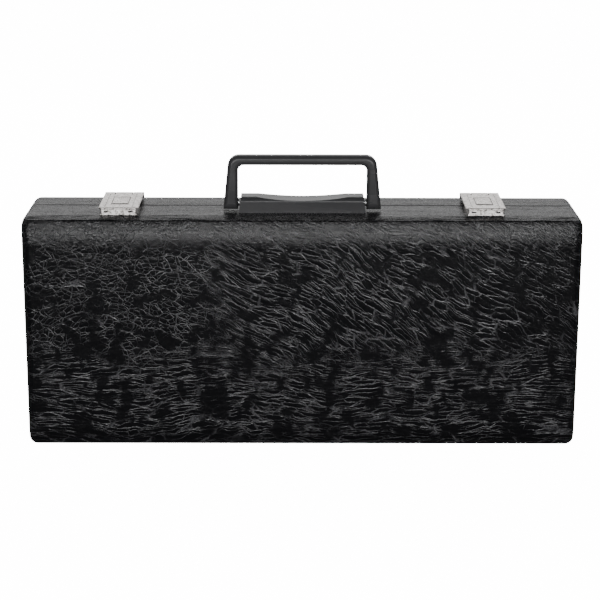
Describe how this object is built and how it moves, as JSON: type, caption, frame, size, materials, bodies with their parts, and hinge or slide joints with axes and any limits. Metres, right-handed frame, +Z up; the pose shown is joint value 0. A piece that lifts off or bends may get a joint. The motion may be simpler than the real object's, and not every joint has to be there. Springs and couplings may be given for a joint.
{
  "type": "recorder case",
  "caption": "Hard leatherette-covered case for a woodwind recorder, standing upright, with a folding bail handle, hinged lid and slide-button latches.",
  "frame": {"origin": "middle of the closed case's footprint, at the lowest face of the hinge side", "axes": "+Z up towards the handle, +X along the case to the right in the front view, -Y towards the front face of the base"},
  "size_m": [0.435, 0.088, 0.2312],
  "materials": {
    "leatherette": "crinkled satin",
    "board": "raw",
    "plush": "short pile",
    "handle_plastic": "satin",
    "steel": "zinc plated",
    "nickel": "satin nickel"
  },
  "bodies": {
    "base": {"base_shell": "board", "base_skin": "leatherette", "base_lip": "board", "base_insert": "plush", "handle_base": "handle_plastic", "handle_pin_left": "steel", "latch_case_left": "nickel", "button_spring_left": "steel", "hinge_base_leaf_left": "nickel", "hinge_pin_left": "steel", "handle_pin_right": "steel", "latch_case_right": "nickel", "button_spring_right": "steel", "hinge_base_leaf_right": "nickel", "hinge_pin_right": "steel"},
    "lid": {"lid_shell": "board", "lid_skin": "leatherette", "lid_lining": "plush", "hinge_lid_leaf_left": "nickel", "hasp_leaf_left": "nickel", "hasp_pin_left": "steel", "hinge_lid_leaf_right": "nickel", "hasp_leaf_right": "nickel", "hasp_pin_right": "steel"},
    "handle": {"handle_bail": "handle_plastic"},
    "hasp_left": {"hasp_left": "nickel"},
    "hasp_right": {"hasp_right": "nickel"},
    "button_left": {"slide_button_left": "nickel"},
    "button_right": {"slide_button_right": "nickel"}
  },
  "joints": [
    {"name": "lid_hinge", "type": "hinge", "parent": "base", "child": "lid", "pos_m": [0, 0.003, 0.0026], "axis": [-1, 0, 0], "range_deg": [0, 100]},
    {"name": "handle_pivot", "type": "hinge", "parent": "base", "child": "handle", "pos_m": [0, -0.015, 0.1936], "axis": [-1, 0, 0], "range_deg": [-90, 90]},
    {"name": "hasp_left_pivot", "type": "hinge", "parent": "lid", "child": "hasp_left", "pos_m": [-0.1425, 0.0243, 0.1905], "axis": [-1, 0, 0], "range_deg": [0, 100]},
    {"name": "button_left_slide", "type": "slide", "parent": "base", "child": "button_left", "axis": [0, 1, 0], "range_m": [0, 0.003], "stiffness_N_per_m": 400, "springref_m": -0.004},
    {"name": "hasp_right_pivot", "type": "hinge", "parent": "lid", "child": "hasp_right", "pos_m": [0.1425, 0.0243, 0.1905], "axis": [-1, 0, 0], "range_deg": [0, 100]},
    {"name": "button_right_slide", "type": "slide", "parent": "base", "child": "button_right", "axis": [0, 1, 0], "range_m": [0, 0.003], "stiffness_N_per_m": 400, "springref_m": -0.004}
  ]
}
